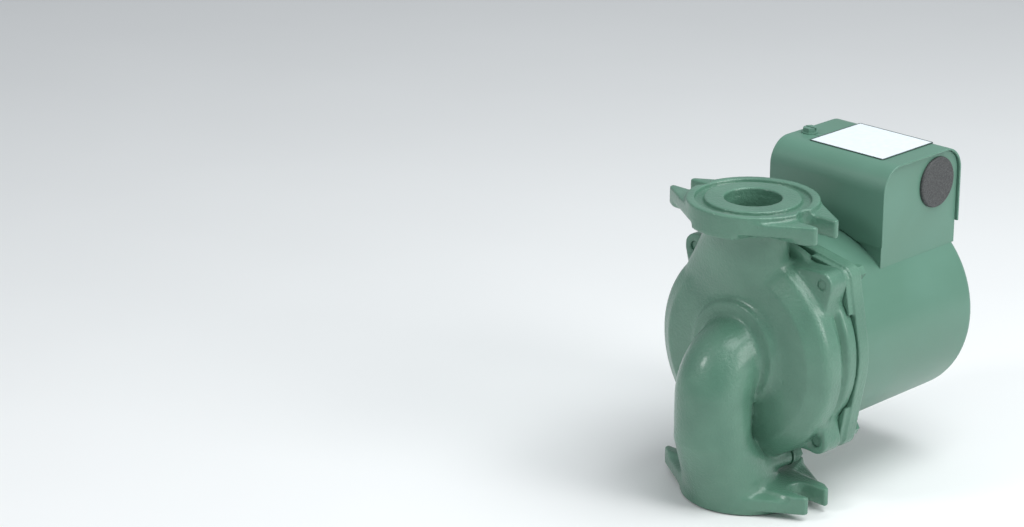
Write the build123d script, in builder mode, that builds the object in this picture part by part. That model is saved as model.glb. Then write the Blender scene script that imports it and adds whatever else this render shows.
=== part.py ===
from build123d import *
import os
from math import acos, atan2, cos, hypot, pi, sin, sqrt

os.makedirs("parts", exist_ok=True)

# ---------------------------------------------------------------------------
# In-line wet-rotor circulator pump. Millimetres, +Z up along the flange axis.
# Origin: centre of the lower (suction) flange face. The shaft runs along +Y.
# ---------------------------------------------------------------------------

# Mounting flanges
FACE_TO_FACE = 162.0        # lower flange face to upper flange face
BOLT_SPACING = 80.2         # centre to centre of the two flange bolts
BOLT_SLOT_WIDTH = 12.7
BOLT_SLOT_PLAY = 2.2        # how far a slot reaches inward past the bolt centre
RING_RADIUS = 34.3          # raised ring that carries the gasket groove
RING_RISE = 2.9             # the ring stands this far proud of the ears
EAR_THICKNESS = 9.9
EAR_REACH = 48.9            # flange axis to ear tip
EAR_TIP_WIDTH = 18.6
EAR_POCKET_DEPTH = 3.0
GROOVE_INNER_RADIUS = 25.0
GROOVE_OUTER_RADIUS = 29.8
GROOVE_DEPTH = 2.6

# Water passages and cast walls
PORT_RADIUS = 14.8
PORT_LENGTH = 12.0          # straight part of each port behind its face
PIPE_WALL = 5.2
RISER_OFFSET = 27.0         # the suction riser stands this far in front of the flange axis
BEND_RADIUS = 21.0          # centre line of the elbow
FOOT_RADIUS = 26.0          # flare of the riser where it meets the lower flange
FOOT_OFFSET = 9.0
FOOT_HEIGHT = 25.0          # length of that flare above the flange

# Volute casing, stations along the shaft (Y) and radii about it
AXIS_HEIGHT = FACE_TO_FACE / 2
SPIRAL_SHIFT_X = -1.5       # the volute is eccentric to the shaft
SPIRAL_SHIFT_Z = -3.4
VOLUTE_RADIUS = 56.6
VOLUTE_WALL = 7.4
VOLUTE_EDGE_RADIUS = 47.0   # crisp edge round the front face
VOLUTE_EDGE_Y = -8.3
VOLUTE_SHOULDER_Y = -4.6    # end of the steep band behind the crisp edge
VOLUTE_SHOULDER_RADIUS = 52.4
VOLUTE_ROUND_Y = -2.2       # middle of the rounding from the band into the barrel
VOLUTE_ROUND_RADIUS = 55.45
VOLUTE_CROWN_Y = 1.5        # the barrel is straight from here back
VOLUTE_BACK_Y = 8.6
EYE_BOSS_RADIUS = 27.1
EYE_BOSS_Y = -13.6
EYE_FACE_Y = -10.6          # front annulus at the foot of the eye boss
CHAMBER_FRONT_Y = -4.6
GROOVE_LINE_Y = 10.6        # cast groove between the barrel and the rim
GROOVE_RADIUS = 53.2
RIM_FRONT_Y = 12.4
RIM_BACK_Y = 20.0
RIM_RADIUS = 55.8
RIM_BASE_RADIUS = 51.0
RIM_CHAMFER = 1.2
LUG_FRONT_Y = 4.3
LUG_BACK_Y = 17.0
LUG_RADIUS = 6.8
SCREW_OFFSET = 42.7         # casing screws, left-right and up-down from the shaft
SCREW_RADIUS = 2.6
SCREW_HEAD_HEIGHT = 5.5

# Drain boss and plug behind the riser
DRAIN_X = 15.5
DRAIN_Z = 20.0
DRAIN_BOSS_RADIUS = 5.2
DRAIN_BOSS_END_Y = 14.0
DRAIN_THREAD_RADIUS = 3.4
DRAIN_PLUG_LENGTH = 8.5

# Cartridge
SEAT_Y = 14.0               # floor of the casing's seat for the o-ring
SEAT_RADIUS = 48.4
O_RING_SECTION = 2.6
PLATE_THICKNESS = 2.2
PLATE_RADIUS = 48.0
CAN_RADIUS = 27.0
CAN_WALL = 0.8
CAN_BACK_Y = 106.0
SHAFT_RADIUS = 5.0
SHAFT_BORE_RADIUS = 1.5
SHAFT_FRONT_Y = -1.5
SHAFT_BACK_Y = 101.0
ROTOR_RADIUS = 25.4
ROTOR_FRONT_Y = 40.0
ROTOR_LENGTH = 44.0
END_RING_LENGTH = 7.0
BEARING_RADIUS = 8.5
BEARING_LENGTH = 12.0
FRONT_BEARING_Y = 13.0
REAR_BEARING_Y = 88.0
THRUST_THICKNESS = 3.0

# Impeller
IMPELLER_RADIUS = 37.0
IMPELLER_FRONT_Y = -3.6
IMPELLER_DEPTH = 12.0
SHROUD_THICKNESS = 1.8
EYE_RING_RADIUS = 17.6
EYE_RING_WALL = 1.8
EYE_RING_LENGTH = 4.4
IMPELLER_HUB_RADIUS = 9.0
INSERT_RADIUS = 6.6
VANE_COUNT = 6
VANE_THICKNESS = 1.8

# Motor
MOTOR_FLANGE_RADIUS = 56.6
MOTOR_FLANGE_FRONT_Y = 20.4
MOTOR_FLANGE_BACK_Y = 28.4
MOTOR_LUG_BACK_Y = 29.6
PAD_INSET = 1.2             # pads lie this far inside the flange's outline
PAD_START = 25.5            # pads begin this far from the shaft's centre planes
SPIGOT_RADIUS = 47.0
SHELL_RADIUS = 53.5
SHELL_WALL = 1.2
SHELL_BACK_Y = 121.0
SHELL_CORNER = 5.0
REGISTER_LENGTH = 4.0       # the motor flange reaches this far into the shell
STATOR_FRONT_Y = 42.0
STATOR_LENGTH = 40.0
STATOR_SLOTS = 24
STATOR_SLOT_DEPTH = 9.0
STATOR_SLOT_WIDTH = 3.4
END_TURN_LENGTH = 9.0
END_TURN_DEPTH = 12.0

# Terminal box on the shell
BOX_CENTRE_X = 1.8          # the box sits a little to the right of the shaft
BOX_HALF_WIDTH = 36.7       # box centre to the outer faces of the side walls
BOX_FRONT_Y = 57.6
BOX_BACK_Y = 119.6
SHEET = 1.2
COVER_LIP = 1.6             # the cover stands this far past the side walls
COVER_TOP_Z = 172.4
COVER_CORNER = 13.5
COVER_HEM_Z = 130.0         # lower edges of the cover's front and back panels
COVER_HEM_GAP = 0.5         # the panels clear the shell by this much
SHELF_Z = 138.0
SHELF_DEPTH = 36.0
PLUG_Y = 101.6
PLUG_Z = 155.5
PLUG_RADIUS = 13.7
PLUG_RISE = 1.8
KNOCKOUT_RADIUS = 11.1
COVER_SCREW_X = -29.5
COVER_SCREW_Y = 80.0
LABEL_X = 4.0
LABEL_Y = 90.0
LABEL_WIDTH = 49.5
LABEL_DEPTH = 42.8
LABEL_THICKNESS = 0.4
CAPACITOR_RADIUS = 13.5
CAPACITOR_LENGTH = 50.0
BUSHING_Y = 103.0
BUSHING_RADIUS = 5.0
LEAD_RADIUS = 1.3

# Clearances
FIT = 0.05                  # radial clearance of pins, shafts and screws in their holes
GAP = 0.3                   # clearance between neighbouring curved or moving faces

SHAFT_AXIS = Axis((0, 0, AXIS_HEIGHT), (0, 1, 0))


def across(station, x=0.0, z=AXIS_HEIGHT):
    """Plane square to the shaft at a station along Y: local X is +X, local Y is +Z."""
    return Plane(origin=(x, station, z), x_dir=(1, 0, 0), z_dir=(0, -1, 0))


def disc(outer, front, back, inner=0.0, x=0.0, z=AXIS_HEIGHT, mode=Mode.ADD):
    """A disc or ring parallel to the shaft, from its front station to its back one."""
    with BuildSketch(across(back, x, z)) as face:
        Circle(outer)
        if inner > 0:
            Circle(inner, mode=Mode.SUBTRACT)
    extrude(face.sketch, amount=back - front, mode=mode)


def turned(outline, x=0.0, z=AXIS_HEIGHT, mode=Mode.ADD):
    """Revolve a closed outline of (station, radius) points about a line parallel to the shaft."""
    with BuildSketch(Plane(origin=(x, 0, z), x_dir=(0, 1, 0), z_dir=(1, 0, 0))) as section:
        with BuildLine():
            Polyline(*outline, close=True)
        make_face()
    revolve(section.sketch, axis=Axis((x, 0, z), (0, 1, 0)), mode=mode)


def write(piece, name):
    """Label a finished piece and export it."""
    piece.part.label = name
    export_step(piece.part, f"parts/{name}.step")


# ---------------------------------------------------------------------------
# Casing
# ---------------------------------------------------------------------------
FLANGE_DEPTH = RING_RISE + EAR_THICKNESS
PIPE_RADIUS = PORT_RADIUS + PIPE_WALL
BEND_START_Z = AXIS_HEIGHT - BEND_RADIUS
BEND_CENTRE_Y = BEND_RADIUS - RISER_OFFSET
SLOT_END_X = BOLT_SPACING / 2 - BOLT_SLOT_PLAY
SCREW_CORNERS = [(sx, sz) for sx in (-1, 1) for sz in (-1, 1)]
SCREW_PLACES = [(sx * SCREW_OFFSET, sz * SCREW_OFFSET) for sx, sz in SCREW_CORNERS]


def ear_outline():
    """Corner points of both ears: straight edges run from the ring, as tangents, to the tips."""
    half = EAR_TIP_WIDTH / 2
    turn = atan2(half, EAR_REACH) + acos(RING_RADIUS / hypot(EAR_REACH, half))
    tx = RING_RADIUS * cos(turn)
    ty = RING_RADIUS * sin(turn)
    quarter = [(EAR_REACH, half), (tx, ty)]
    left = [(-x, y) for x, y in reversed(quarter)]
    lower = [(x, -y) for x, y in reversed(quarter + left)]
    return quarter + left + lower


def add_lower_flange():
    """Ring, ears, gasket groove, open bolt slots and the four pockets behind the ears."""
    with BuildSketch(Plane.XY) as ring:
        Circle(RING_RADIUS)
    extrude(ring.sketch, amount=FLANGE_DEPTH)
    with BuildSketch(Plane.XY.offset(RING_RISE)) as ears:
        with BuildLine():
            Polyline(*ear_outline(), close=True)
        make_face()
        fillet(ears.vertices().filter_by(lambda v: abs(v.X) > EAR_REACH - 1), radius=1.5)
    extrude(ears.sketch, amount=EAR_THICKNESS)
    with BuildSketch(Plane.XY) as groove:
        Circle(GROOVE_OUTER_RADIUS)
        Circle(GROOVE_INNER_RADIUS, mode=Mode.SUBTRACT)
    extrude(groove.sketch, amount=GROOVE_DEPTH, mode=Mode.SUBTRACT)
    with BuildSketch(Plane.XY) as slots:
        for side in (-1, 1):
            with Locations((side * SLOT_END_X, 0)):
                Circle(BOLT_SLOT_WIDTH / 2)
            with Locations((side * (SLOT_END_X + EAR_REACH / 2), 0)):
                Rectangle(EAR_REACH, BOLT_SLOT_WIDTH)
    extrude(slots.sketch, amount=FLANGE_DEPTH, mode=Mode.SUBTRACT)
    with BuildSketch(Plane.XY.offset(FLANGE_DEPTH - EAR_POCKET_DEPTH)) as pockets:
        for sx, sy in SCREW_CORNERS:
            with BuildLine():
                Polyline(
                    (sx * 20.0, sy * 15.6),
                    (sx * 44.6, sy * 12.8),
                    (sx * 60.0, sy * 40.0),
                    (sx * 12.6, sy * 34.0),
                    close=True,
                )
            make_face()
    extrude(pockets.sketch, amount=EAR_POCKET_DEPTH, mode=Mode.SUBTRACT)


def add_suction_elbow(radius, foot_radius, foot_y, foot_z, end_y):
    """Flared foot, riser, quarter bend and a short run towards the eye."""
    foot_top = FLANGE_DEPTH + FOOT_HEIGHT
    with BuildSketch(Plane.XY.offset(foot_z)) as foot:
        with Locations((0, foot_y)):
            Circle(foot_radius)
    with BuildSketch(Plane.XY.offset(foot_top)) as riser:
        with Locations((0, -RISER_OFFSET)):
            Circle(radius)
    loft([foot.sketch.face(), riser.sketch.face()])
    with BuildLine() as run:
        Polyline((0, -RISER_OFFSET, foot_top), (0, -RISER_OFFSET, BEND_START_Z))
        ThreePointArc(
            (0, -RISER_OFFSET, BEND_START_Z),
            (0, BEND_CENTRE_Y - BEND_RADIUS * sin(pi / 4), BEND_START_Z + BEND_RADIUS * sin(pi / 4)),
            (0, BEND_CENTRE_Y, AXIS_HEIGHT),
        )
        Line((0, BEND_CENTRE_Y, AXIS_HEIGHT), (0, end_y, AXIS_HEIGHT))
    sweep(riser.sketch, path=run.line)


with BuildPart() as water_way:
    # Hollow form of both passages, cut from the casing in one piece
    add_suction_elbow(PORT_RADIUS, PORT_RADIUS, 0.0, PORT_LENGTH, CHAMBER_FRONT_Y + 2.0)
    with BuildSketch(Plane.XY) as inlet:
        Circle(PORT_RADIUS)
    extrude(inlet.sketch, amount=PORT_LENGTH)
    with BuildSketch(Plane.XY.offset(FACE_TO_FACE - PORT_LENGTH)) as outlet_top:
        Circle(PORT_RADIUS)
    extrude(outlet_top.sketch, amount=PORT_LENGTH)
    with BuildSketch(Plane.XY.offset(AXIS_HEIGHT + 36)) as outlet_root:
        with Locations((-6.0, 1.0)):
            Ellipse(18.0, 5.4)
    loft([outlet_top.sketch.face(), outlet_root.sketch.face()])


with BuildPart() as casing:
    add_lower_flange()
    mirror(about=Plane.XY.offset(AXIS_HEIGHT))

    # Discharge neck: round under the upper flange, widening into the volute on its left
    with BuildSketch(Plane.XY.offset(FACE_TO_FACE - FLANGE_DEPTH / 2)) as neck_top:
        Circle(PIPE_RADIUS)
    with BuildSketch(Plane.XY.offset(AXIS_HEIGHT + 22)) as neck_root:
        with Locations((-13.0, 0.5)):
            Ellipse(37.0, 9.5)
    loft([neck_top.sketch.face(), neck_root.sketch.face()])

    # Volute barrel with a crisp-edged front face, eccentric to the shaft
    section_plane = Plane(
        origin=(SPIRAL_SHIFT_X, 0, AXIS_HEIGHT + SPIRAL_SHIFT_Z), x_dir=(0, 1, 0), z_dir=(1, 0, 0)
    )
    with BuildSketch(section_plane) as barrel:
        with BuildLine():
            Polyline(
                (EYE_FACE_Y, 0),
                (EYE_FACE_Y, EYE_BOSS_RADIUS),
                (VOLUTE_EDGE_Y, VOLUTE_EDGE_RADIUS),
                (VOLUTE_SHOULDER_Y, VOLUTE_SHOULDER_RADIUS),
            )
            ThreePointArc(
                (VOLUTE_SHOULDER_Y, VOLUTE_SHOULDER_RADIUS),
                (VOLUTE_ROUND_Y, VOLUTE_ROUND_RADIUS),
                (VOLUTE_CROWN_Y, VOLUTE_RADIUS),
            )
            Polyline(
                (VOLUTE_CROWN_Y, VOLUTE_RADIUS),
                (VOLUTE_BACK_Y, VOLUTE_RADIUS),
                (GROOVE_LINE_Y, GROOVE_RADIUS),
                (RIM_FRONT_Y, GROOVE_RADIUS),
                (RIM_FRONT_Y, 0),
                (EYE_FACE_Y, 0),
            )
        make_face()
    spiral_axis = Axis((SPIRAL_SHIFT_X, 0, AXIS_HEIGHT + SPIRAL_SHIFT_Z), (0, 1, 0))
    revolve(barrel.sketch, axis=spiral_axis)

    # Eye boss, and the concentric groove and rim at the back
    disc(EYE_BOSS_RADIUS, EYE_BOSS_Y, 0.0)
    disc(RIM_BASE_RADIUS, VOLUTE_BACK_Y, RIM_BACK_Y)
    turned(
        [
            (RIM_FRONT_Y, 0),
            (RIM_FRONT_Y, RIM_RADIUS - RIM_CHAMFER),
            (RIM_FRONT_Y + RIM_CHAMFER, RIM_RADIUS),
            (RIM_BACK_Y, RIM_RADIUS),
            (RIM_BACK_Y, 0),
        ]
    )

    # Four screw lugs, blended into the barrel by straight webs
    for sx, sz in SCREW_CORNERS:
        with BuildSketch(across(LUG_BACK_Y)) as lug:
            with Locations((sx * SCREW_OFFSET, sz * SCREW_OFFSET)):
                Circle(LUG_RADIUS)
            with Locations((sx * 12, sz * 47.0), (sx * 40.5, sz * 10)):
                Circle(1.0)
            make_hull()
        extrude(lug.sketch, amount=LUG_BACK_Y - LUG_FRONT_Y)

    # Suction elbow and the drain boss on its foot
    add_suction_elbow(PIPE_RADIUS, FOOT_RADIUS, -FOOT_OFFSET, FLANGE_DEPTH / 2, 0.0)
    disc(DRAIN_BOSS_RADIUS, -6.0, DRAIN_BOSS_END_Y, x=DRAIN_X, z=DRAIN_Z)

    # Impeller chamber, cartridge seat and eye
    with BuildSketch(across(8.0, SPIRAL_SHIFT_X, AXIS_HEIGHT + SPIRAL_SHIFT_Z)) as chamber:
        Circle(VOLUTE_RADIUS - VOLUTE_WALL)
    extrude(chamber.sketch, amount=8.0 - CHAMBER_FRONT_Y, mode=Mode.SUBTRACT)
    disc(SEAT_RADIUS - 3.5, CHAMBER_FRONT_Y, SEAT_Y, mode=Mode.SUBTRACT)
    disc(SEAT_RADIUS, SEAT_Y, RIM_BACK_Y, mode=Mode.SUBTRACT)
    disc(EYE_RING_RADIUS + GAP, IMPELLER_FRONT_Y - EYE_RING_LENGTH - 1.0, CHAMBER_FRONT_Y, mode=Mode.SUBTRACT)

    add(water_way.part, mode=Mode.SUBTRACT)

    # Tapped holes in the lugs and the drain boss
    for sx, sz in SCREW_CORNERS:
        disc(
            SCREW_RADIUS + FIT, LUG_FRONT_Y, LUG_BACK_Y,
            x=sx * SCREW_OFFSET, z=AXIS_HEIGHT + sz * SCREW_OFFSET, mode=Mode.SUBTRACT,
        )
    disc(DRAIN_THREAD_RADIUS + FIT, 5.0, DRAIN_BOSS_END_Y, x=DRAIN_X, z=DRAIN_Z, mode=Mode.SUBTRACT)
write(casing, "casing")

with BuildPart() as drain_plug:
    # Hexagon-head taper plug in the drain boss
    disc(DRAIN_THREAD_RADIUS, 6.0, DRAIN_BOSS_END_Y, x=DRAIN_X, z=DRAIN_Z)
    disc(DRAIN_BOSS_RADIUS + 0.4, DRAIN_BOSS_END_Y, DRAIN_BOSS_END_Y + 1.6, x=DRAIN_X, z=DRAIN_Z)
    plug_end = DRAIN_BOSS_END_Y + DRAIN_PLUG_LENGTH
    with BuildSketch(across(plug_end, DRAIN_X, DRAIN_Z)) as head:
        RegularPolygon(DRAIN_BOSS_RADIUS, 6)
    extrude(head.sketch, amount=DRAIN_PLUG_LENGTH)
    chamfer(drain_plug.faces().sort_by(Axis.Y)[-1].edges(), length=0.8)
write(drain_plug, "drain_plug")


# ---------------------------------------------------------------------------
# Cartridge: plate, can, bearings, shaft and rotor
# ---------------------------------------------------------------------------
PLATE_FRONT_Y = SEAT_Y + O_RING_SECTION
PLATE_BACK_Y = PLATE_FRONT_Y + PLATE_THICKNESS
O_RING_RADIUS = SEAT_RADIUS - O_RING_SECTION / 2 - 0.4
ROTOR_BACK_Y = ROTOR_FRONT_Y + ROTOR_LENGTH
FRONT_BEARING_END_Y = FRONT_BEARING_Y + BEARING_LENGTH
REAR_HOLDER_RADIUS = CAN_RADIUS - CAN_WALL - FIT

with BuildPart() as casing_o_ring:
    with BuildSketch(Plane(origin=(0, 0, AXIS_HEIGHT), x_dir=(0, 1, 0), z_dir=(1, 0, 0))) as cord:
        with Locations((SEAT_Y + O_RING_SECTION / 2, O_RING_RADIUS)):
            Circle(O_RING_SECTION / 2)
    revolve(cord.sketch, axis=SHAFT_AXIS)
write(casing_o_ring, "casing_o_ring")

with BuildPart() as cartridge_plate:
    # Pressed plate with a hub that holds the front bearing, and four bleed holes
    disc(PLATE_RADIUS, PLATE_FRONT_Y, PLATE_BACK_Y)
    disc(BEARING_RADIUS + 3.0, FRONT_BEARING_Y, FRONT_BEARING_END_Y)
    disc(BEARING_RADIUS + FIT, FRONT_BEARING_Y, FRONT_BEARING_END_Y, mode=Mode.SUBTRACT)
    with BuildSketch(across(PLATE_BACK_Y)) as bleed_holes:
        with PolarLocations(BEARING_RADIUS + 7.0, 4, start_angle=45):
            Circle(1.5)
    extrude(bleed_holes.sketch, amount=PLATE_THICKNESS, mode=Mode.SUBTRACT)
write(cartridge_plate, "cartridge_plate")

with BuildPart() as rotor_can:
    # Thin can, open towards the plate, with a flange welded to the plate's back
    disc(CAN_RADIUS, PLATE_BACK_Y, CAN_BACK_Y)
    disc(CAN_RADIUS + 4.0, PLATE_BACK_Y, PLATE_BACK_Y + CAN_WALL)
    disc(CAN_RADIUS - CAN_WALL, PLATE_BACK_Y, CAN_BACK_Y - CAN_WALL, mode=Mode.SUBTRACT)
    fillet(rotor_can.faces().sort_by(Axis.Y)[-1].edges(), radius=0.6)
write(rotor_can, "rotor_can")

with BuildPart() as front_bearing:
    disc(BEARING_RADIUS, FRONT_BEARING_Y, FRONT_BEARING_END_Y, inner=SHAFT_RADIUS + FIT)
write(front_bearing, "front_bearing")

with BuildPart() as rear_bearing:
    disc(BEARING_RADIUS, REAR_BEARING_Y, REAR_BEARING_Y + BEARING_LENGTH, inner=SHAFT_RADIUS + FIT)
write(rear_bearing, "rear_bearing")

with BuildPart() as bearing_holder:
    # Spoked holder that centres the rear bearing in the closed end of the can
    disc(BEARING_RADIUS + 2.5, REAR_BEARING_Y, CAN_BACK_Y - CAN_WALL, inner=BEARING_RADIUS + FIT)
    disc(REAR_HOLDER_RADIUS, REAR_BEARING_Y + 6.0, REAR_BEARING_Y + 8.0, inner=BEARING_RADIUS + FIT)
    disc(
        REAR_HOLDER_RADIUS, REAR_BEARING_Y + 6.0, CAN_BACK_Y - CAN_WALL,
        inner=REAR_HOLDER_RADIUS - 1.6,
    )
write(bearing_holder, "bearing_holder")

with BuildPart() as thrust_washer:
    disc(
        BEARING_RADIUS, FRONT_BEARING_END_Y + GAP, FRONT_BEARING_END_Y + GAP + THRUST_THICKNESS,
        inner=SHAFT_RADIUS + FIT,
    )
write(thrust_washer, "thrust_washer")

with BuildPart() as shaft:
    disc(SHAFT_RADIUS, SHAFT_FRONT_Y, SHAFT_BACK_Y, inner=SHAFT_BORE_RADIUS)
    chamfer(shaft.edges().filter_by(GeomType.CIRCLE).group_by(SortBy.RADIUS)[-1], length=0.5)
write(shaft, "shaft")

with BuildPart() as rotor_core:
    # Lamination stack; its spacer sleeve runs forward to the thrust washer
    disc(ROTOR_RADIUS, ROTOR_FRONT_Y, ROTOR_BACK_Y, inner=SHAFT_RADIUS + FIT)
write(rotor_core, "rotor_core")

with BuildPart() as rotor_sleeve:
    sleeve_start = FRONT_BEARING_END_Y + GAP + THRUST_THICKNESS
    disc(BEARING_RADIUS, sleeve_start, ROTOR_FRONT_Y, inner=SHAFT_RADIUS + FIT)
write(rotor_sleeve, "rotor_sleeve")

with BuildPart() as rotor_end_rings:
    # Cast aluminium rings that close the squirrel cage at both ends
    for start in (ROTOR_FRONT_Y - END_RING_LENGTH, ROTOR_BACK_Y):
        disc(ROTOR_RADIUS - 0.6, start, start + END_RING_LENGTH, inner=ROTOR_RADIUS - 8.0)
write(rotor_end_rings, "rotor_end_rings")


# ---------------------------------------------------------------------------
# Impeller
# ---------------------------------------------------------------------------
IMPELLER_BACK_Y = IMPELLER_FRONT_Y + IMPELLER_DEPTH
VANE_FRONT_Y = IMPELLER_FRONT_Y + SHROUD_THICKNESS
VANE_BACK_Y = IMPELLER_BACK_Y - SHROUD_THICKNESS
VANE_START_RADIUS = EYE_RING_RADIUS - EYE_RING_WALL

with BuildPart() as impeller:
    disc(IMPELLER_RADIUS, VANE_BACK_Y, IMPELLER_BACK_Y)
    disc(IMPELLER_RADIUS, IMPELLER_FRONT_Y, VANE_FRONT_Y, inner=VANE_START_RADIUS)
    disc(EYE_RING_RADIUS, IMPELLER_FRONT_Y - EYE_RING_LENGTH, VANE_FRONT_Y, inner=VANE_START_RADIUS)
    disc(IMPELLER_HUB_RADIUS, VANE_FRONT_Y, IMPELLER_BACK_Y)
    with BuildSketch(across(VANE_BACK_Y)) as vanes:
        with PolarLocations(0, VANE_COUNT):
            with BuildLine():
                outer_arc = ThreePointArc(
                    (VANE_START_RADIUS, 0), (IMPELLER_RADIUS * 0.68, IMPELLER_RADIUS * 0.33),
                    (IMPELLER_RADIUS * 0.58, IMPELLER_RADIUS * 0.80),
                )
                offset(outer_arc, amount=VANE_THICKNESS, side=Side.RIGHT)
            make_face()
    extrude(vanes.sketch, amount=VANE_BACK_Y - VANE_FRONT_Y)
    disc(INSERT_RADIUS + FIT, VANE_FRONT_Y, IMPELLER_BACK_Y, mode=Mode.SUBTRACT)
write(impeller, "impeller")

with BuildPart() as impeller_insert:
    disc(INSERT_RADIUS, VANE_FRONT_Y, IMPELLER_BACK_Y + 2.0, inner=SHAFT_RADIUS + FIT)
write(impeller_insert, "impeller_insert")


# ---------------------------------------------------------------------------
# Motor
# ---------------------------------------------------------------------------
STATOR_BORE = CAN_RADIUS + GAP
STATOR_BACK_Y = STATOR_FRONT_Y + STATOR_LENGTH
END_TURN_INNER = STATOR_BORE + 3.0

with BuildPart() as motor_flange:
    # Round-sided square plate; a pad at each corner stands forward onto a casing lug
    with BuildSketch(across(MOTOR_FLANGE_BACK_Y)) as plate:
        Circle(MOTOR_FLANGE_RADIUS)
        with Locations(SCREW_PLACES):
            Circle(LUG_RADIUS)
        make_hull()
    extrude(plate.sketch, amount=MOTOR_FLANGE_BACK_Y - MOTOR_FLANGE_FRONT_Y)
    with BuildSketch(across(MOTOR_FLANGE_FRONT_Y)) as pads:
        Circle(MOTOR_FLANGE_RADIUS - PAD_INSET)
        with Locations(SCREW_PLACES):
            Circle(LUG_RADIUS - PAD_INSET)
        make_hull()
        Rectangle(2 * PAD_START, 3 * MOTOR_FLANGE_RADIUS, mode=Mode.SUBTRACT)
        Rectangle(3 * MOTOR_FLANGE_RADIUS, 2 * PAD_START, mode=Mode.SUBTRACT)
    extrude(pads.sketch, amount=MOTOR_FLANGE_FRONT_Y - LUG_BACK_Y)
    with BuildSketch(across(MOTOR_LUG_BACK_Y)) as bosses:
        with Locations(SCREW_PLACES):
            Circle(LUG_RADIUS - PAD_INSET)
    extrude(bosses.sketch, amount=MOTOR_LUG_BACK_Y - MOTOR_FLANGE_BACK_Y)
    disc(RIM_RADIUS + GAP, LUG_BACK_Y, MOTOR_FLANGE_FRONT_Y, mode=Mode.SUBTRACT)
    disc(SHELL_RADIUS + GAP, MOTOR_FLANGE_BACK_Y, MOTOR_LUG_BACK_Y, mode=Mode.SUBTRACT)
    disc(SPIGOT_RADIUS, PLATE_BACK_Y, MOTOR_FLANGE_FRONT_Y)
    disc(SHELL_RADIUS - SHELL_WALL - FIT, MOTOR_FLANGE_BACK_Y, MOTOR_FLANGE_BACK_Y + REGISTER_LENGTH)
    disc(CAN_RADIUS + 5.0, PLATE_BACK_Y, MOTOR_FLANGE_BACK_Y + REGISTER_LENGTH, mode=Mode.SUBTRACT)
    for sx, sz in SCREW_CORNERS:
        disc(
            SCREW_RADIUS + FIT, LUG_BACK_Y, MOTOR_LUG_BACK_Y,
            x=sx * SCREW_OFFSET, z=AXIS_HEIGHT + sz * SCREW_OFFSET, mode=Mode.SUBTRACT,
        )
write(motor_flange, "motor_flange")

with BuildPart() as casing_screws:
    # Four hexagon-flange cap screws; their tips end just inside the casing lugs
    for sx, sz in SCREW_CORNERS:
        x, z = sx * SCREW_OFFSET, AXIS_HEIGHT + sz * SCREW_OFFSET
        disc(SCREW_RADIUS, LUG_FRONT_Y + 1.2, MOTOR_LUG_BACK_Y, x=x, z=z)
        disc(SCREW_RADIUS + 2.0, MOTOR_LUG_BACK_Y, MOTOR_LUG_BACK_Y + 1.2, x=x, z=z)
        with BuildSketch(across(MOTOR_LUG_BACK_Y + SCREW_HEAD_HEIGHT, x, z)) as head:
            RegularPolygon(SCREW_RADIUS + 1.7, 6)
        extrude(head.sketch, amount=SCREW_HEAD_HEIGHT)
write(casing_screws, "casing_screws")

with BuildPart() as motor_shell:
    # Deep-drawn cup with a rounded rear rim, two drain slots and the lead hole on top
    disc(SHELL_RADIUS, MOTOR_FLANGE_BACK_Y, SHELL_BACK_Y)
    fillet(motor_shell.faces().sort_by(Axis.Y)[-1].edges(), radius=SHELL_CORNER)
    offset(
        amount=-SHELL_WALL, openings=motor_shell.faces().sort_by(Axis.Y)[0], kind=Kind.ARC
    )
    with BuildSketch(Plane.XY.offset(AXIS_HEIGHT)) as lead_hole:
        with Locations((0, BUSHING_Y)):
            Circle(BUSHING_RADIUS + FIT)
    extrude(lead_hole.sketch, amount=SHELL_RADIUS, mode=Mode.SUBTRACT)
write(motor_shell, "motor_shell")

with BuildPart() as stator_core:
    disc(SHELL_RADIUS - SHELL_WALL - FIT, STATOR_FRONT_Y, STATOR_BACK_Y, inner=STATOR_BORE)
    with BuildSketch(across(STATOR_BACK_Y)) as slots:
        with PolarLocations(STATOR_BORE + STATOR_SLOT_DEPTH / 2 + 1.0, STATOR_SLOTS):
            Rectangle(STATOR_SLOT_DEPTH, STATOR_SLOT_WIDTH)
    extrude(slots.sketch, amount=STATOR_LENGTH, mode=Mode.SUBTRACT)
write(stator_core, "stator_core")

for name, start in (
    ("winding_front", STATOR_FRONT_Y - END_TURN_LENGTH),
    ("winding_rear", STATOR_BACK_Y),
):
    with BuildPart() as end_turns:
        # Bundle of end turns lying against the stack
        disc(END_TURN_INNER + END_TURN_DEPTH, start, start + END_TURN_LENGTH, inner=END_TURN_INNER)
        free_end = end_turns.faces().filter_by(GeomType.PLANE).sort_by(Axis.Y)
        free_end = free_end[0] if start < STATOR_FRONT_Y else free_end[-1]
        fillet(free_end.edges(), radius=3.0)
    write(end_turns, name)


# ---------------------------------------------------------------------------
# Terminal box
# ---------------------------------------------------------------------------
BOX_DEPTH = BOX_BACK_Y - BOX_FRONT_Y
BOX_MID_Y = (BOX_FRONT_Y + BOX_BACK_Y) / 2
BOX_TOP_Z = COVER_TOP_Z - SHEET - GAP
SHELL_TOP_Z = AXIS_HEIGHT + SHELL_RADIUS
BOX_RIGHT_X = BOX_CENTRE_X + BOX_HALF_WIDTH
BOX_LEFT_X = BOX_CENTRE_X - BOX_HALF_WIDTH
COVER_DEPTH = BOX_DEPTH + 2 * (SHEET + GAP)


def rounded_arch(depth, base_z, top_z, corner):
    """Side view of the box: a rectangle in its YZ centre plane with two rounded top corners."""
    with BuildSketch(Plane(origin=(BOX_CENTRE_X, BOX_MID_Y, base_z), x_dir=(0, 1, 0), z_dir=(1, 0, 0))) as arch:
        with Locations((0, (top_z - base_z) / 2)):
            Rectangle(depth, top_z - base_z)
        fillet(arch.vertices().group_by(Axis.Y)[-1], radius=corner)
    return arch.sketch


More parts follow.
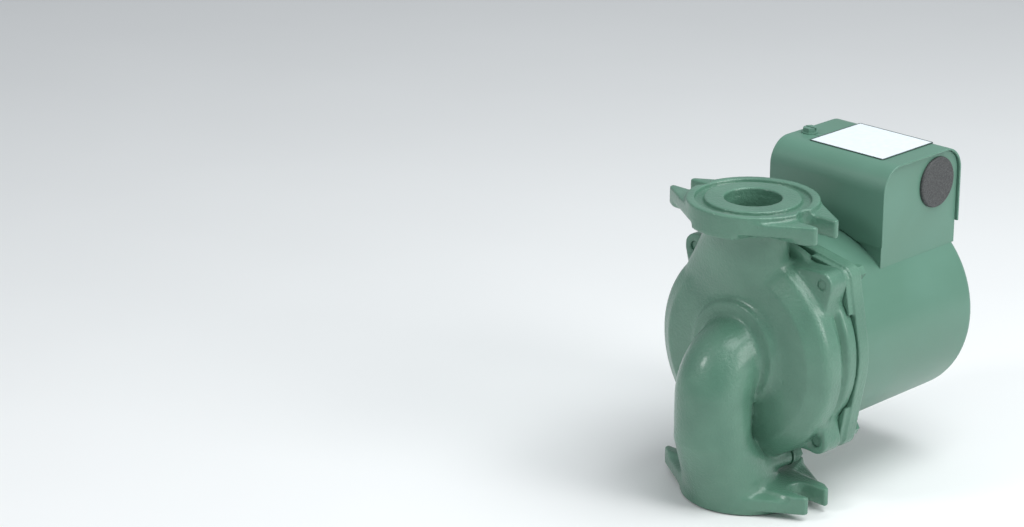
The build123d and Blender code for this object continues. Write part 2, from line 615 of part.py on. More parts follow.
with BuildPart() as terminal_box:
    # Folded base: full side walls, short front and back walls, a shelf, a tab for the cover screw
    outline = rounded_arch(BOX_DEPTH, AXIS_HEIGHT, BOX_TOP_Z, COVER_CORNER - SHEET - GAP)
    extrude(outline, amount=BOX_HALF_WIDTH, both=True)
    extrude(outline, amount=BOX_HALF_WIDTH - SHEET, both=True, mode=Mode.SUBTRACT)
    wall_top = COVER_HEM_Z + 12.0
    for wall_y in (BOX_FRONT_Y, BOX_BACK_Y - SHEET):
        with BuildSketch(Plane.XY.offset(AXIS_HEIGHT)) as wall:
            with Locations((BOX_CENTRE_X, wall_y + SHEET / 2)):
                Rectangle(2 * BOX_HALF_WIDTH, SHEET)
        extrude(wall.sketch, amount=wall_top - AXIS_HEIGHT)
    with BuildSketch(Plane.XY.offset(SHELF_Z)) as shelf:
        with Locations((BOX_CENTRE_X, BOX_FRONT_Y + SHELF_DEPTH / 2)):
            Rectangle(2 * BOX_HALF_WIDTH - SHEET, SHELF_DEPTH)
    extrude(shelf.sketch, amount=SHEET)
    with BuildSketch(Plane.XY.offset(BOX_TOP_Z - SHEET)) as tab:
        with Locations((BOX_LEFT_X + 6.5, COVER_SCREW_Y)):
            Rectangle(13.0, 16.0)
    extrude(tab.sketch, amount=SHEET)
    disc(SHELL_RADIUS, BOX_FRONT_Y - 1.0, BOX_BACK_Y + 1.0, mode=Mode.SUBTRACT)
    with BuildSketch(Plane.YZ.offset(BOX_RIGHT_X - SHEET)) as knockout_hole:
        with Locations((PLUG_Y, PLUG_Z)):
            Circle(KNOCKOUT_RADIUS)
    extrude(knockout_hole.sketch, amount=SHEET, mode=Mode.SUBTRACT)
    with BuildSketch(Plane.YZ.offset(BOX_LEFT_X)) as knockout_score:
        with Locations((PLUG_Y, PLUG_Z)):
            Circle(KNOCKOUT_RADIUS)
            Circle(KNOCKOUT_RADIUS - 0.8, mode=Mode.SUBTRACT)
    extrude(knockout_score.sketch, amount=SHEET / 3, mode=Mode.SUBTRACT)
    with BuildSketch(Plane.XY.offset(BOX_TOP_Z - SHEET)) as tapped_hole:
        with Locations((COVER_SCREW_X, COVER_SCREW_Y)):
            Circle(2.0 + FIT)
    extrude(tapped_hole.sketch, amount=SHEET, mode=Mode.SUBTRACT)
write(terminal_box, "terminal_box")

with BuildPart() as box_cover:
    # One strip folded over front, top and back, wider than the box so that it forms a lip
    outer = rounded_arch(COVER_DEPTH, COVER_HEM_Z, COVER_TOP_Z, COVER_CORNER)
    inner = rounded_arch(COVER_DEPTH - 2 * SHEET, COVER_HEM_Z, COVER_TOP_Z - SHEET, COVER_CORNER - SHEET)
    extrude(outer, amount=BOX_HALF_WIDTH + COVER_LIP, both=True)
    extrude(inner, amount=BOX_HALF_WIDTH + COVER_LIP, both=True, mode=Mode.SUBTRACT)
    disc(SHELL_RADIUS + COVER_HEM_GAP, BOX_FRONT_Y - 5.0, BOX_BACK_Y + 5.0, mode=Mode.SUBTRACT)
    with BuildSketch(Plane.XY.offset(COVER_TOP_Z - SHEET)) as screw_hole:
        with Locations((COVER_SCREW_X, COVER_SCREW_Y)):
            Circle(2.0 + FIT)
    extrude(screw_hole.sketch, amount=SHEET, mode=Mode.SUBTRACT)
write(box_cover, "box_cover")

with BuildPart() as cover_screw:
    # Slotted hexagon washer-head screw
    with BuildSketch(Plane.XY.offset(COVER_TOP_Z - 6.0)) as thread:
        with Locations((COVER_SCREW_X, COVER_SCREW_Y)):
            Circle(2.0)
    extrude(thread.sketch, amount=6.0)
    with BuildSketch(Plane.XY.offset(COVER_TOP_Z)) as washer:
        with Locations((COVER_SCREW_X, COVER_SCREW_Y)):
            Circle(4.5)
    extrude(washer.sketch, amount=0.8)
    with BuildSketch(Plane.XY.offset(COVER_TOP_Z)) as hexagon:
        with Locations((COVER_SCREW_X, COVER_SCREW_Y)):
            RegularPolygon(4.0, 6)
    extrude(hexagon.sketch, amount=3.0)
    with BuildSketch(Plane.XY.offset(COVER_TOP_Z + 1.8)) as slot:
        with Locations((COVER_SCREW_X, COVER_SCREW_Y)):
            Rectangle(10.0, 1.2)
    extrude(slot.sketch, amount=1.2, mode=Mode.SUBTRACT)
write(cover_screw, "cover_screw")

with BuildPart() as knockout_plug:
    # Domed plastic button with a snap collar through the wall
    with BuildSketch(Plane.YZ.offset(BOX_RIGHT_X)) as button:
        with Locations((PLUG_Y, PLUG_Z)):
            Circle(PLUG_RADIUS)
    extrude(button.sketch, amount=PLUG_RISE)
    fillet(knockout_plug.faces().sort_by(Axis.X)[-1].edges(), radius=PLUG_RISE * 0.7)
    with BuildSketch(Plane.YZ.offset(BOX_RIGHT_X - 6.0)) as collar:
        with Locations((PLUG_Y, PLUG_Z)):
            Circle(KNOCKOUT_RADIUS - FIT)
            Circle(KNOCKOUT_RADIUS - 1.5, mode=Mode.SUBTRACT)
    extrude(collar.sketch, amount=6.0)
write(knockout_plug, "knockout_plug")

with BuildPart() as nameplate:
    with BuildSketch(Plane.XY.offset(COVER_TOP_Z)) as plate:
        with Locations((LABEL_X, LABEL_Y)):
            RectangleRounded(LABEL_WIDTH, LABEL_DEPTH, 1.2)
    extrude(plate.sketch, amount=LABEL_THICKNESS)
write(nameplate, "nameplate")

CAPACITOR_Y = BOX_FRONT_Y + SHELF_DEPTH / 2 + 1.0
CAPACITOR_Z = SHELF_Z + SHEET + CAPACITOR_RADIUS

with BuildPart() as capacitor:
    # Oil-filled can lying across the shelf, with two blade terminals
    with BuildSketch(Plane.YZ.offset(-CAPACITOR_LENGTH / 2)) as can:
        with Locations((CAPACITOR_Y, CAPACITOR_Z)):
            Circle(CAPACITOR_RADIUS)
    extrude(can.sketch, amount=CAPACITOR_LENGTH)
    with BuildSketch(Plane.YZ.offset(CAPACITOR_LENGTH / 2)) as blades:
        for side in (-1, 1):
            with Locations((CAPACITOR_Y + side * 5.0, CAPACITOR_Z)):
                Rectangle(0.8, 6.3)
    extrude(blades.sketch, amount=7.0)
write(capacitor, "capacitor")

with BuildPart() as capacitor_strap:
    # Saddle strap over the capacitor, with a foot on the shelf in front of it
    strap_outer = CAPACITOR_RADIUS + GAP + 0.8
    with BuildSketch(Plane.YZ.offset(-5.0)) as saddle:
        with Locations((CAPACITOR_Y, CAPACITOR_Z)):
            Circle(strap_outer)
        with Locations((CAPACITOR_Y, CAPACITOR_Z - strap_outer / 2)):
            Rectangle(2 * strap_outer, strap_outer)
        with Locations((CAPACITOR_Y, CAPACITOR_Z)):
            Circle(CAPACITOR_RADIUS + GAP, mode=Mode.SUBTRACT)
        with Locations((CAPACITOR_Y, CAPACITOR_Z - strap_outer / 2)):
            Rectangle(2 * (CAPACITOR_RADIUS + GAP), strap_outer, mode=Mode.SUBTRACT)
        with Locations((CAPACITOR_Y, SHELF_Z + SHEET - strap_outer)):
            Rectangle(2 * strap_outer, 2 * strap_outer, mode=Mode.SUBTRACT)
    extrude(saddle.sketch, amount=10.0)
write(capacitor_strap, "capacitor_strap")

with BuildPart() as ground_screw:
    # Hexagon washer screw in the shelf
    with BuildSketch(Plane.XY.offset(SHELF_Z + SHEET)) as washer:
        with Locations((32.0, CAPACITOR_Y)):
            Circle(4.4)
    extrude(washer.sketch, amount=1.0)
    with BuildSketch(Plane.XY.offset(SHELF_Z + SHEET)) as hexagon:
        with Locations((32.0, CAPACITOR_Y)):
            RegularPolygon(3.6, 6)
    extrude(hexagon.sketch, amount=3.6)
write(ground_screw, "ground_screw")

with BuildPart() as lead_bushing:
    # Grommet in the shell's top, where the motor leads come up into the box
    with BuildSketch(Plane.XY.offset(SHELL_TOP_Z - 6.0)) as stem:
        with Locations((0, BUSHING_Y)):
            Circle(BUSHING_RADIUS)
    extrude(stem.sketch, amount=8.0)
    with BuildSketch(Plane.XY.offset(SHELL_TOP_Z)) as flange:
        with Locations((0, BUSHING_Y)):
            Circle(BUSHING_RADIUS + 2.0)
    extrude(flange.sketch, amount=2.0)
    with BuildSketch(Plane.XY.offset(SHELL_TOP_Z - 6.0)) as lead_holes:
        with Locations((0, BUSHING_Y)):
            with PolarLocations(2.4, 3, start_angle=90):
                Circle(LEAD_RADIUS + FIT)
    extrude(lead_holes.sketch, amount=8.0, mode=Mode.SUBTRACT)
write(lead_bushing, "lead_bushing")

with BuildPart() as motor_leads:
    # Three insulated leads that stand up out of the bushing
    with BuildSketch(Plane.XY.offset(SHELL_TOP_Z - 6.0)) as leads:
        with Locations((0, BUSHING_Y)):
            with PolarLocations(2.4, 3, start_angle=90):
                Circle(LEAD_RADIUS)
    extrude(leads.sketch, amount=24.0)
write(motor_leads, "motor_leads")
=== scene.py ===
import math

import bpy
import numpy as np
from mathutils import Matrix, Vector


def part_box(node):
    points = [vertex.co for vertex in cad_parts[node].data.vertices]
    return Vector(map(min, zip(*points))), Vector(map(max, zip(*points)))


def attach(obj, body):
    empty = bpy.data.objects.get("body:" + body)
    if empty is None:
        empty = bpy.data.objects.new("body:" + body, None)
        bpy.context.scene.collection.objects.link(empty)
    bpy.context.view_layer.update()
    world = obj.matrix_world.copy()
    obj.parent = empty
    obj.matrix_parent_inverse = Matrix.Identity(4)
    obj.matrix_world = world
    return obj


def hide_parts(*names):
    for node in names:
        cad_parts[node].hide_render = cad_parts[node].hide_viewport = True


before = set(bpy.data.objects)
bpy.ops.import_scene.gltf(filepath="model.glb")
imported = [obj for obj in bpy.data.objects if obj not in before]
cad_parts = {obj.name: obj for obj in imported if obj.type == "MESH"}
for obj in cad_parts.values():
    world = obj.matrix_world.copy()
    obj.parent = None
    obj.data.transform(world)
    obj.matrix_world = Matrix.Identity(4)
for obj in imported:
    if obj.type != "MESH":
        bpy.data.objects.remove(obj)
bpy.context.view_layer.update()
MM = 0.001
WELD_GAP = 0.001 * MM

# ---------------------------------------------------------------- shared material effects
# Node groups used by several finishes: the orange-peel skin of enamel on a sand casting and the
# finer skin of enamel on sheet metal. They give heights and masks only; every material keeps
# its own Principled shader. The two green enamels are here because several pieces share them.


GRAIN_SHARE = 0.35          # height of the fine grain against the orange peel
EDGE_HIGHLIGHT_GAIN = 1.35            # painted highlight: the enamel colour is paler on outer edges
EDGE_HIGHLIGHT_LIFT = 0.03
RECESS_SHADE = 0.45         # painted shade: the enamel colour is darker in corners and recesses
ROUGHNESS_SPREAD = 0.05
COAT_ROUGHNESS = 0.16


def group_sockets(group, inputs, outputs):
    """Declares a node group's float inputs with their defaults, and its outputs."""
    for name, value in inputs:
        group.interface.new_socket(name, in_out="INPUT", socket_type="NodeSocketFloat")
        group.interface.items_tree[name].default_value = value
    for name in outputs:
        group.interface.new_socket(name, in_out="OUTPUT", socket_type="NodeSocketFloat")


def noise(nodes, links, coords, scale, detail=2.0, roughness=0.5):
    """A noise texture's height at that many features per metre."""
    n = nodes.new("ShaderNodeTexNoise")
    n.inputs["Scale"].default_value = scale
    n.inputs["Detail"].default_value = detail
    n.inputs["Roughness"].default_value = roughness
    links.new(coords, n.inputs["Vector"])
    return n.outputs["Fac"]


def math_node(nodes, links, operation, a, b):
    """A math node; a and b are sockets or plain numbers."""
    n = nodes.new("ShaderNodeMath")
    n.operation = operation
    for socket, value in zip(n.inputs, (a, b)):
        if isinstance(value, (int, float)):
            socket.default_value = value
        else:
            links.new(value, socket)
    return n.outputs[0]


def skin_group(name, coarse, fine, mottle):
    """Height of a sprayed skin (coarse orange peel plus fine grain) and a slow colour mottle."""
    group = bpy.data.node_groups.new(name, "ShaderNodeTree")
    group_sockets(group, [("Peel", 0.7)], ["Height", "Mottle"])
    nodes, links = group.nodes, group.links
    inside, outside = nodes.new("NodeGroupInput"), nodes.new("NodeGroupOutput")
    coords = nodes.new("ShaderNodeTexCoord").outputs["Object"]
    peel = noise(nodes, links, coords, coarse, 3.0, 0.55)
    grain = noise(nodes, links, coords, fine, 2.0, 0.6)
    peel = math_node(nodes, links, "MULTIPLY", peel, inside.outputs["Peel"])
    grain = math_node(nodes, links, "MULTIPLY", grain, GRAIN_SHARE)
    links.new(math_node(nodes, links, "ADD", peel, grain), outside.inputs["Height"])
    links.new(noise(nodes, links, coords, mottle, 2.0), outside.inputs["Mottle"])
    return group


CAST_SKIN = skin_group("cast_enamel_skin", coarse=620.0, fine=1700.0, mottle=45.0)
SHEET_SKIN = skin_group("sheet_enamel_skin", coarse=900.0, fine=2600.0, mottle=25.0)


def new_material(name):
    """A material with its Principled node, ready for links."""
    material = bpy.data.materials.new(name)
    material.use_nodes = True
    nodes, links = material.node_tree.nodes, material.node_tree.links
    shader = next(n for n in nodes if n.type == "BSDF_PRINCIPLED")
    return material, nodes, links, shader


def mix_colour(nodes, links, factor, a, b):
    """Mixes two colours (tuples or sockets) by a factor socket."""
    n = nodes.new("ShaderNodeMix")
    n.data_type = "RGBA"
    links.new(factor, n.inputs["Factor"])
    for socket, value in ((n.inputs["A"], a), (n.inputs["B"], b)):
        if isinstance(value, tuple):
            socket.default_value = (*value, 1.0)
        else:
            links.new(value, socket)
    return n.outputs["Result"]


def remap(nodes, links, value, low, high, to_low=0.0, to_high=1.0):
    """Maps a value range onto another, clamped."""
    n = nodes.new("ShaderNodeMapRange")
    links.new(value, n.inputs["Value"])
    n.inputs["From Min"].default_value = low
    n.inputs["From Max"].default_value = high
    n.inputs["To Min"].default_value = to_low
    n.inputs["To Max"].default_value = to_high
    return n.outputs["Result"]


def bump(nodes, links, height, shader, strength, distance):
    """Feeds a height into the shader's normal."""
    n = nodes.new("ShaderNodeBump")
    n.inputs["Strength"].default_value = strength
    n.inputs["Distance"].default_value = distance
    links.new(height, n.inputs["Height"])
    links.new(n.outputs["Normal"], shader.inputs["Normal"])


def enamel(name, colour, deep, skin, peel, roughness, strength, distance, coat):
    """Green enamel: base colour mottled towards a deeper one, with painted shade in recesses and a
    painted highlight on outer edges.
    """
    material, nodes, links, shader = new_material(name)
    group = nodes.new("ShaderNodeGroup")
    group.node_tree = skin
    group.inputs["Peel"].default_value = peel
    mottle = group.outputs["Mottle"]
    mottled = mix_colour(nodes, links, remap(nodes, links, mottle, 0.35, 0.65), deep, colour)
    # painted highlight: outer edges (high pointiness) are mixed towards a paler green
    shape = nodes.new("ShaderNodeNewGeometry").outputs["Pointiness"]
    edge = remap(nodes, links, shape, 0.52, 0.62, 0.0, 0.35)
    edge_highlight_colour = tuple(min(1.0, c * EDGE_HIGHLIGHT_GAIN + EDGE_HIGHLIGHT_LIFT) for c in colour)
    wear_and_painted_highlight = mix_colour(nodes, links, edge, mottled, edge_highlight_colour)
    # painted shade: corners and recesses (low pointiness) are mixed towards a darker green
    recess_shade_mask = remap(nodes, links, shape, 0.40, 0.48, 0.55, 0.0)
    recess_shade_colour = tuple(c * RECESS_SHADE for c in colour)
    links.new(mix_colour(nodes, links, recess_shade_mask, wear_and_painted_highlight, recess_shade_colour), shader.inputs["Base Color"])
    smooth, rough = roughness - ROUGHNESS_SPREAD, roughness + ROUGHNESS_SPREAD
    links.new(remap(nodes, links, mottle, 0.3, 0.7, smooth, rough), shader.inputs["Roughness"])
    shader.inputs["Coat Weight"].default_value = coat
    shader.inputs["Coat Roughness"].default_value = COAT_ROUGHNESS
    bump(nodes, links, group.outputs["Height"], shader, strength, distance)
    return material


CAST_GREEN = enamel(
    "green_enamel_on_casting", (0.105, 0.235, 0.165), (0.080, 0.195, 0.135), CAST_SKIN,
    peel=1.0, roughness=0.34, strength=0.55, distance=0.0007, coat=0.35,
)
SHEET_GREEN = enamel(
    "green_enamel_on_sheet", (0.105, 0.230, 0.170), (0.095, 0.212, 0.152), SHEET_SKIN,
    peel=0.6, roughness=0.40, strength=0.16, distance=0.0003, coat=0.15,
)


def set_material(obj, material):
    """Gives the whole object one material."""
    obj.data.materials.clear()
    obj.data.materials.append(material)


# ---------------------------------------------------------------- sand-cast casing
# The iron volute casing with its flanges and suction elbow, sand cast and enamelled. A voxel
# skin over the CAD solid is smoothed so that outer edges are slightly rounded and inner corners
# fill into foundry fillets; machined gasket faces stay crisp.

CAST_VOXEL = 0.62 * MM
CAST_EDGE_PASSES = 5
CAST_FILLET_PASSES = 130
EVEN_OUT_EVERY = 10         # fillet passes between two that even the points out
PORT_SPACING_MM = 162.0
FLANGE_FACE_RADIUS_MM = 35.5
FLANGE_FACE_DEPTH_MM = 3.6
SHAFT_HEIGHT_MM = 81.0
SCREW_OFFSET_MM = 42.7
SCREW_HOLE_RADIUS_MM = 4.2
CHAMBER_RADIUS_MM = 49.5
CHAMBER_FRONT_MM = -4.0


def voxel_skin(node, voxel):
    """A new mesh: the CAD node's closed voxel skin."""
    copy = bpy.data.objects.new("skin_source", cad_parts[node].data.copy())
    bpy.context.scene.collection.objects.link(copy)
    weld = copy.modifiers.new("weld", "WELD")
    weld.merge_threshold = WELD_GAP
    remesh = copy.modifiers.new("remesh", "REMESH")
    remesh.mode = "VOXEL"
    remesh.voxel_size = voxel
    remesh.adaptivity = 0.0
    graph = bpy.context.evaluated_depsgraph_get()
    mesh = bpy.data.meshes.new_from_object(copy.evaluated_get(graph))
    bpy.data.objects.remove(copy)
    return mesh


def mesh_arrays(mesh):
    """Point array, edge array and neighbour count of a mesh."""
    points = np.zeros(len(mesh.vertices) * 3, np.float32)
    mesh.vertices.foreach_get("co", points)
    edges = np.zeros(len(mesh.edges) * 2, np.int32)
    mesh.edges.foreach_get("vertices", edges)
    edges = edges.reshape(-1, 2)
    counts = np.bincount(edges.ravel(), minlength=len(mesh.vertices)).astype(np.float64)
    return points.reshape(-1, 3).astype(np.float64), edges, np.maximum(counts, 1.0)


def laplacian(points, edges, counts):
    """Each point's step to the mean of its neighbours."""
    total = np.zeros_like(points)
    for axis in range(3):
        column = points[:, axis]
        total[:, axis] = np.bincount(edges[:, 0], column[edges[:, 1]], len(points))
        total[:, axis] += np.bincount(edges[:, 1], column[edges[:, 0]], len(points))
    return total / counts[:, None] - points


def vertex_normals(mesh, points):
    """Unit normals after the points moved."""
    mesh.vertices.foreach_set("co", points.astype(np.float32).ravel())
    mesh.update()
    normals = np.zeros(len(mesh.vertices) * 3, np.float32)
    mesh.vertices.foreach_get("normal", normals)
    return normals.reshape(-1, 3).astype(np.float64)


def cast_surface(mesh, edge_passes, fillet_passes, hold):
    """Rounds a voxel skin like a casting; hold(points) is 0 where a face was machined, else 1."""
    points, edges, counts = mesh_arrays(mesh)
    free = hold(points)[:, None]
    for _ in range(edge_passes):
        points += 0.5 * laplacian(points, edges, counts)
    for step in range(fillet_passes):
        if step % EVEN_OUT_EVERY == 0:
            normals = vertex_normals(mesh, points)
        move = laplacian(points, edges, counts)
        rise = np.maximum((move * normals).sum(1), 0.0)[:, None]
        points += 0.5 * free * rise * normals
        if step % EVEN_OUT_EVERY == EVEN_OUT_EVERY - 1:
            points += 0.15 * free * laplacian(points, edges, counts)
    vertex_normals(mesh, points)
    mesh.shade_smooth()


def hold_machined(points):
    """0 at the gasket faces, screw holes and impeller chamber of the casing, 1 elsewhere."""
    x, y, z = points.T / MM
    above_shaft = z - SHAFT_HEIGHT_MM
    depth = np.minimum(np.abs(z), np.abs(z - PORT_SPACING_MM))
    flange_face = (depth < FLANGE_FACE_DEPTH_MM) & (np.hypot(x, y) < FLANGE_FACE_RADIUS_MM)
    from_screw = np.hypot(np.abs(x) - SCREW_OFFSET_MM, np.abs(above_shaft) - SCREW_OFFSET_MM)
    screw_hole = from_screw < SCREW_HOLE_RADIUS_MM
    inside = (np.hypot(x, above_shaft) < CHAMBER_RADIUS_MM) & (y > CHAMBER_FRONT_MM)
    return np.where(flange_face | screw_hole | inside, 0.0, 1.0)


def place_skin(name, mesh):
    """The finished casting skin as an object with its enamel."""
    skin = bpy.data.objects.new(name, mesh)
    set_material(skin, CAST_GREEN)
    bpy.context.scene.collection.objects.link(skin)
    return skin


casing_mesh = voxel_skin("casing", CAST_VOXEL)
cast_surface(casing_mesh, CAST_EDGE_PASSES, CAST_FILLET_PASSES, hold_machined)
casing_skin = place_skin("casing_skin", casing_mesh)
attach(casing_skin, "pump_body")
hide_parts("casing")

# ---------------------------------------------------------------- motor flange
# Cast iron adapter between casing and motor, enamelled like the casing and held by its four
# screws; the same casting skin at a finer voxel, with small fillets only.

FLANGE_VOXEL = 0.5 * MM
FLANGE_EDGE_PASSES = 4
FLANGE_FILLET_PASSES = 20


def hold_nothing(points):
    """1 everywhere: the flange has no machined face that shows."""
    return np.ones(len(points))


flange_mesh = voxel_skin("motor_flange", FLANGE_VOXEL)
cast_surface(flange_mesh, FLANGE_EDGE_PASSES, FLANGE_FILLET_PASSES, hold_nothing)
flange_skin = place_skin("motor_flange_skin", flange_mesh)
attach(flange_skin, "pump_body")
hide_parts("motor_flange")

# ---------------------------------------------------------------- sheet metal and screws
# The pressed motor shell, the folded terminal box with its cover, and the painted screws keep
# their CAD shape; their edges get the small radius that bending, punching and paint leave.


BEND_ANGLE = 35.0           # edges sharper than this, in degrees, get the small radius
SHELL_EDGE = 0.35 * MM
BOX_EDGE = 0.30 * MM
SCREW_EDGE = 0.35 * MM
COVER_SCREW_EDGE = 0.30 * MM


def soften(node, material, width, segments=2):
    """Material plus a small bevel on a CAD node's hard edges."""
    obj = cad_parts[node]
    set_material(obj, material)
    weld = obj.modifiers.new("weld", "WELD")
    weld.merge_threshold = WELD_GAP
    edge = obj.modifiers.new("edge", "BEVEL")
    edge.width = width
    edge.segments = segments
    edge.limit_method = "ANGLE"
    edge.angle_limit = math.radians(BEND_ANGLE)
    edge.harden_normals = True
    obj.data.shade_smooth()
    normals = obj.modifiers.new("normals", "WEIGHTED_NORMAL")
    normals.keep_sharp = True


soften("motor_shell", SHEET_GREEN, SHELL_EDGE)
soften("terminal_box", SHEET_GREEN, BOX_EDGE)
soften("box_cover", SHEET_GREEN, SHELL_EDGE)
for node in ("casing_screws", "drain_plug"):
    soften(node, CAST_GREEN, SCREW_EDGE)
soften("cover_screw", SHEET_GREEN, COVER_SCREW_EDGE)

# ---------------------------------------------------------------- knockout plug
# Black moulded plastic button snapped into the side knockout; a fine spark-eroded texture.

PLUG_BLACK = (0.035, 0.036, 0.037)
PLUG_GREY = (0.085, 0.088, 0.088)
PLUG_GRAIN = 1500.0
PLUG_EDGE = 0.5 * MM
plug_black, nodes, links, shader = new_material("black_moulded_plastic")
coords = nodes.new("ShaderNodeTexCoord").outputs["Object"]
texture = noise(nodes, links, coords, PLUG_GRAIN, 2.0, 0.6)
wear_and_painted_highlight = remap(nodes, links, texture, 0.35, 0.7)
links.new(mix_colour(nodes, links, wear_and_painted_highlight, PLUG_BLACK, PLUG_GREY), shader.inputs["Base Color"])
shader.inputs["Roughness"].default_value = 0.55
bump(nodes, links, texture, shader, 0.5, 0.0004)
soften("knockout_plug", plug_black, PLUG_EDGE, segments=3)

# ---------------------------------------------------------------- nameplate
# A bare white printed film with a thin dark border line, stuck on the cover's top.

BORDER_WIDTH = 0.9 * MM
BORDER_GREEN = (0.045, 0.075, 0.065)
FILM_SHADE = (0.74, 0.80, 0.86)
FILM_WHITE = (0.80, 0.85, 0.90)
FILM_GRAIN = 300.0
FILM_EDGE = 0.08 * MM
label_low, label_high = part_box("nameplate")
label_white, nodes, links, shader = new_material("bare_label_film")
position = nodes.new("ShaderNodeSeparateXYZ")
links.new(nodes.new("ShaderNodeTexCoord").outputs["Object"], position.inputs[0])
inset = None
for axis, low, high in (("X", label_low.x, label_high.x), ("Y", label_low.y, label_high.y)):
    centre, half = (low + high) / 2, (high - low) / 2
    off = math_node(nodes, links, "SUBTRACT", position.outputs[axis], centre)
    off = math_node(nodes, links, "ABSOLUTE", off, 0.0)
    near = math_node(nodes, links, "GREATER_THAN", off, half - BORDER_WIDTH)
    inset = near if inset is None else math_node(nodes, links, "MAXIMUM", inset, near)
film = noise(nodes, links, nodes.new("ShaderNodeTexCoord").outputs["Object"], FILM_GRAIN)
paper = mix_colour(nodes, links, remap(nodes, links, film, 0.3, 0.7), FILM_SHADE, FILM_WHITE)
links.new(mix_colour(nodes, links, inset, paper, BORDER_GREEN), shader.inputs["Base Color"])
shader.inputs["Roughness"].default_value = 0.38
bump(nodes, links, film, shader, 0.06, 0.0003)
soften("nameplate", label_white, FILM_EDGE, segments=1)

# ---------------------------------------------------------------- inner parts
# Pieces that the housing hides: stainless, carbon, ceramic, plastic, brass, laminations,
# aluminium, copper and rubber, each with its own grain.

INNER_EDGE = 0.15 * MM
INNER_SHADE = 0.8           # the darker colour of each grain
INNER_ROUGHNESS_SPREAD = 0.06
INNER_BUMP = 0.15
INNER_BUMP_DEPTH = 0.0002
CARTRIDGE_STEEL = ("cartridge_plate", "rotor_can", "bearing_holder", "rotor_sleeve")

# material, nodes, colour, roughness, metallic and grain in features per metre
INNER = (
    ("stainless", CARTRIDGE_STEEL, (0.60, 0.60, 0.59), 0.28, 1.0, 900.0),
    ("plated_steel", ("capacitor_strap",), (0.55, 0.55, 0.52), 0.35, 1.0, 700.0),
    ("carbon", ("front_bearing", "rear_bearing"), (0.035, 0.035, 0.038), 0.6, 0.0, 1500.0),
    ("shaft_ceramic", ("thrust_washer", "shaft"), (0.80, 0.77, 0.70), 0.25, 0.0, 500.0),
    ("impeller_plastic", ("impeller",), (0.05, 0.045, 0.045), 0.42, 0.0, 1200.0),
    ("brass", ("impeller_insert", "ground_screw"), (0.62, 0.45, 0.18), 0.3, 1.0, 800.0),
    ("electrical_steel", ("rotor_core", "stator_core"), (0.22, 0.22, 0.24), 0.45, 1.0, 1400.0),
    ("cast_aluminium", ("rotor_end_rings",), (0.66, 0.66, 0.67), 0.4, 1.0, 600.0),
    ("enamelled_copper", ("winding_front", "winding_rear"), (0.42, 0.13, 0.045), 0.3, 0.4, 1100.0),
    ("sealing_rubber", ("casing_o_ring", "lead_bushing"), (0.02, 0.02, 0.02), 0.7, 0.0, 900.0),
    ("capacitor_case", ("capacitor",), (0.04, 0.04, 0.045), 0.4, 0.0, 900.0),
    ("lead_insulation", ("motor_leads",), (0.03, 0.03, 0.03), 0.45, 0.0, 700.0),
)
for name, members, colour, roughness, metallic, grain in INNER:
    material, nodes, links, shader = new_material(name)
    coords = nodes.new("ShaderNodeTexCoord").outputs["Object"]
    texture = noise(nodes, links, coords, grain, 3.0, 0.6)
    darker = tuple(INNER_SHADE * c for c in colour)
    links.new(mix_colour(nodes, links, texture, darker, colour), shader.inputs["Base Color"])
    smooth, rough = roughness - INNER_ROUGHNESS_SPREAD, roughness + INNER_ROUGHNESS_SPREAD
    links.new(remap(nodes, links, texture, 0.3, 0.7, smooth, rough), shader.inputs["Roughness"])
    shader.inputs["Metallic"].default_value = metallic
    bump(nodes, links, texture, shader, INNER_BUMP, INNER_BUMP_DEPTH)
    for node in members:
        soften(node, material, INNER_EDGE, segments=1)

# ---------------------------------------------------------------- floor, light and camera
# A seamless pale floor, a large softbox overhead, one at the right for the motor shell, a small
# one front left for the glints on the elbow, and an even pale surround.

FLOOR_SIZE = 8.0
FLOOR_DROP = 0.5 * MM       # the floor is this far below the lower flange
FLOOR_GREY = (0.86, 0.86, 0.86)
FLOOR_WHITE = (0.90, 0.90, 0.90)
SURROUND_COLOUR = (0.90, 0.95, 1.0, 1.0)
SURROUND_STRENGTH = 0.42
MIDDLE = (0.0, 0.04, 0.08)  # the softboxes face this point
OVERHEAD_COLOUR = (0.95, 1.0, 1.0)
CAMERA_PLACE = (0.93752, -1.10829, 0.64100)
CAMERA_RIGHT = Vector((0.70624, 0.70797, 0.0))
CAMERA_UP = Vector((-0.23749, 0.23691, 0.94206))
SENSOR_WIDTH = 36.0
LENS = 105.38
CLIP_NEAR = 0.05
CLIP_FAR = 20.0

bpy.ops.mesh.primitive_plane_add(size=FLOOR_SIZE, location=(0, 0, -FLOOR_DROP))
floor = bpy.context.object
floor.name = "studio_floor"
floor_white, nodes, links, shader = new_material("pale_floor")
coords = nodes.new("ShaderNodeTexCoord").outputs["Object"]
dust = noise(nodes, links, coords, 6.0)
links.new(mix_colour(nodes, links, dust, FLOOR_GREY, FLOOR_WHITE), shader.inputs["Base Color"])
shader.inputs["Roughness"].default_value = 0.8
set_material(floor, floor_white)

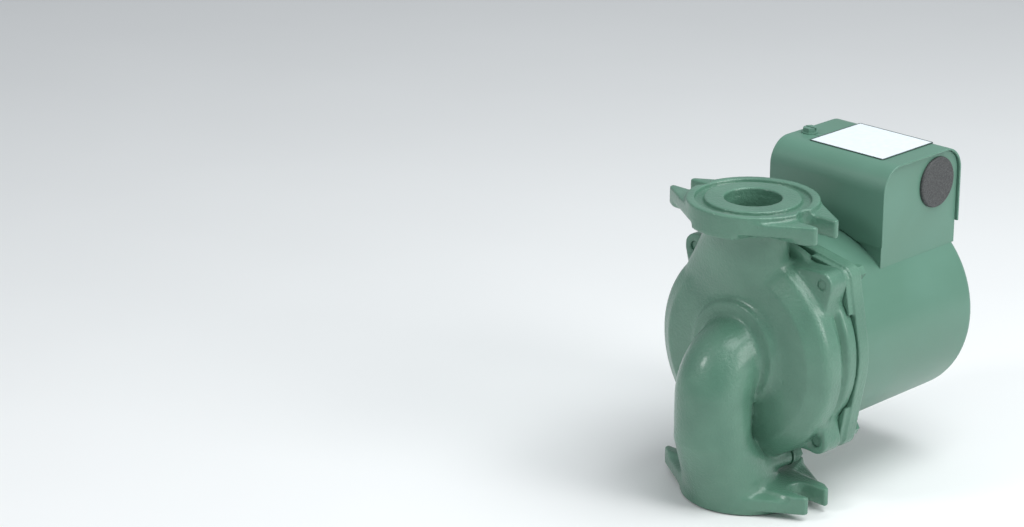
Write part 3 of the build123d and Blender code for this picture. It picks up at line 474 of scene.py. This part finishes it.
world = bpy.data.worlds.new("studio")
bpy.context.scene.world = world
world.use_nodes = True
nodes, links = world.node_tree.nodes, world.node_tree.links
surround = nodes["Background"]
surround.inputs["Color"].default_value = SURROUND_COLOUR
surround.inputs["Strength"].default_value = SURROUND_STRENGTH
backdrop = nodes.new("ShaderNodeBackground")
backdrop.inputs["Color"].default_value = (1.0, 1.0, 1.0, 1.0)
backdrop.inputs["Strength"].default_value = 1.0
chooser = nodes.new("ShaderNodeMixShader")
links.new(nodes.new("ShaderNodeLightPath").outputs["Is Camera Ray"], chooser.inputs["Fac"])
links.new(surround.outputs[0], chooser.inputs[1])
links.new(backdrop.outputs[0], chooser.inputs[2])
links.new(chooser.outputs[0], nodes["World Output"].inputs["Surface"])


def softbox(name, place, width, height, watts, colour=(1.0, 1.0, 1.0)):
    """A rectangular area light at place, facing the pump's middle."""
    light = bpy.data.lights.new(name, "AREA")
    light.shape = "RECTANGLE"
    light.size, light.size_y = width, height
    light.energy = watts
    light.color = colour
    lamp = bpy.data.objects.new(name, light)
    bpy.context.scene.collection.objects.link(lamp)
    lamp.location = place
    lamp.rotation_mode = "QUATERNION"
    lamp.rotation_quaternion = (Vector(MIDDLE) - Vector(place)).to_track_quat("-Z", "Y")


softbox("overhead_softbox", (0.35, 0.15, 1.1), width=0.9, height=0.6, watts=9.0, colour=OVERHEAD_COLOUR)
softbox("right_softbox", (1.1, 0.25, 0.65), width=0.5, height=0.7, watts=6.0)
softbox("front_left_softbox", (-0.35, -0.9, 0.85), width=0.25, height=0.25, watts=3.0)

camera = bpy.data.objects.new("camera", bpy.data.cameras.new("camera"))
bpy.context.scene.collection.objects.link(camera)
camera_axes = Matrix((CAMERA_RIGHT, CAMERA_UP, CAMERA_RIGHT.cross(CAMERA_UP))).transposed()
camera.matrix_world = Matrix.Translation(CAMERA_PLACE) @ camera_axes.to_4x4()
camera.data.sensor_width = SENSOR_WIDTH
camera.data.lens = LENS
camera.data.clip_start = CLIP_NEAR
camera.data.clip_end = CLIP_FAR
bpy.context.scene.camera = camera
bpy.context.scene.view_settings.view_transform = "Standard"
